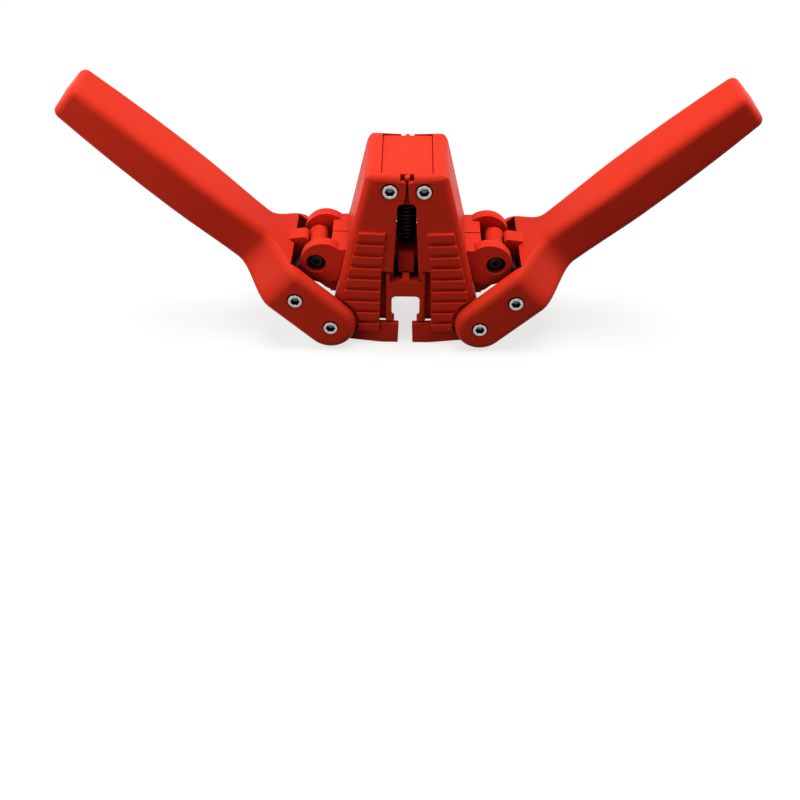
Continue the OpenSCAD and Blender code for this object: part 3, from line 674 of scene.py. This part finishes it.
def area_light(name, place, target, size, power):
    """A soft square light that looks at a point."""
    data = bpy.data.lights.new(name, "AREA")
    data.size = size
    data.energy = power
    lamp = bpy.data.objects.new(name, data)
    lamp.location = place
    lamp.rotation_euler = (Vector(target) - Vector(place)).to_track_quat("-Z", "Y").to_euler()
    lamp.visible_camera = False
    bpy.context.scene.collection.objects.link(lamp)


class CAPPER_OT_stage(bpy.types.Operator):
    """Set the floor, the studio light and the camera"""

    bl_idname = "capper.stage"
    bl_label = "Stage"

    floor_half = 4.0
    light_aim = (0, 0, 60 * MM)
    overhead_place = (0.07, 0.05, 1.0)
    overhead_size = 0.8
    front_place = (-0.36, -0.3, 0.28)
    front_size = 0.3
    right_place = (0.8, 0.05, 0.45)
    side_size = 0.5
    camera_near = 10 * MM
    camera_place = (-0.24 * MM, -488.0 * MM, 350.0 * MM)
    camera_pitch = math.radians(40.26)
    camera_yaw = math.radians(-0.27)
    camera_roll = math.radians(0.61)

    def execute(self, context):
        stage = context.scene.capper_stage
        self.make_floor(stage)
        self.make_world(context.scene, stage)
        self.make_lights(stage)
        self.make_camera(context.scene, stage)
        context.scene.view_settings.view_transform = "Standard"
        return {"FINISHED"}

    def make_floor(self, stage):
        data = bpy.data.meshes.new("floor")
        half = self.floor_half
        corners = [(-half, -half, 0), (half, -half, 0), (half, half, 0), (-half, half, 0)]
        data.from_pydata(corners, [], [(0, 1, 2, 3)])
        floor = bpy.data.objects.new("floor", data)
        data.materials.append(floor_material(stage.floor_white))
        bpy.context.scene.collection.objects.link(floor)

    def make_world(self, scene, stage):
        world = bpy.data.worlds.new("studio")
        scene.world = world
        world.use_nodes = True
        tree = world.node_tree
        tree.nodes.clear()
        strength = add(tree, "ShaderNodeMapRange", sockets={
            "Value": seen_directly(tree), "To Min": stage.sky, "To Max": 1.0})
        sky = add(tree, "ShaderNodeBackground", sockets={
            "Color": rgba((1, 1, 1)), "Strength": strength.outputs["Result"]})
        add(tree, "ShaderNodeOutputWorld", sockets={"Surface": sky.outputs[0]})

    def make_lights(self, stage):
        x, y, z = self.right_place
        lights = (
            ("overhead_softbox", self.overhead_place, self.overhead_size, stage.key_power),
            ("front_softbox", self.front_place, self.front_size, stage.fill_power),
            ("left_softbox", (-x, y, z), self.side_size, stage.side_power),
            ("right_softbox", (x, y, z), self.side_size, stage.side_power),
        )
        for name, place, size, power in lights:
            area_light(name, place, self.light_aim, size, power)

    def make_camera(self, scene, stage):
        data = bpy.data.cameras.new("camera")
        data.lens = stage.lens
        data.clip_start = self.camera_near
        camera = bpy.data.objects.new("camera", data)
        level = math.cos(self.camera_pitch)
        ahead = Vector((
            math.sin(self.camera_yaw) * level, math.cos(self.camera_yaw) * level,
            -math.sin(self.camera_pitch)))
        turn = ahead.to_track_quat("-Z", "Y").to_matrix() @ Matrix.Rotation(self.camera_roll, 3, "Z")
        camera.matrix_world = Matrix.Translation(self.camera_place) @ turn.to_4x4()
        scene.collection.objects.link(camera)
        scene.camera = camera


OPERATORS = (
    CAPPER_OT_mouldings,
    CAPPER_OT_levers,
    CAPPER_OT_screws,
    CAPPER_OT_steel_pieces,
    CAPPER_OT_return_spring,
    CAPPER_OT_stage,
)


class VIEW3D_PT_capper(bpy.types.Panel):
    """Buttons that dress the capper and set its stage"""

    bl_idname = "VIEW3D_PT_capper"
    bl_label = "Crown capper"
    bl_space_type = "VIEW_3D"
    bl_region_type = "UI"
    bl_category = "Capper"

    def draw(self, context):
        for operator in OPERATORS:
            self.layout.operator(operator.bl_idname)


GROUPS = {"capper_finish": CapperFinish, "capper_spring": CapperSpring, "capper_stage": CapperStage}


def register():
    for group in GROUPS.values():
        bpy.utils.register_class(group)
    for name, group in GROUPS.items():
        setattr(bpy.types.Scene, name, bpy.props.PointerProperty(type=group))
    for made in (*OPERATORS, VIEW3D_PT_capper):
        bpy.utils.register_class(made)


def unregister():
    for made in (VIEW3D_PT_capper, *reversed(OPERATORS)):
        bpy.utils.unregister_class(made)
    for name, group in GROUPS.items():
        delattr(bpy.types.Scene, name)
        bpy.utils.unregister_class(group)


def main():
    register()
    bpy.ops.capper.mouldings()
    bpy.ops.capper.levers()
    bpy.ops.capper.screws()
    bpy.ops.capper.steel_pieces()
    bpy.ops.capper.return_spring()
    bpy.ops.capper.stage()


if __name__ == "__main__":
    main()
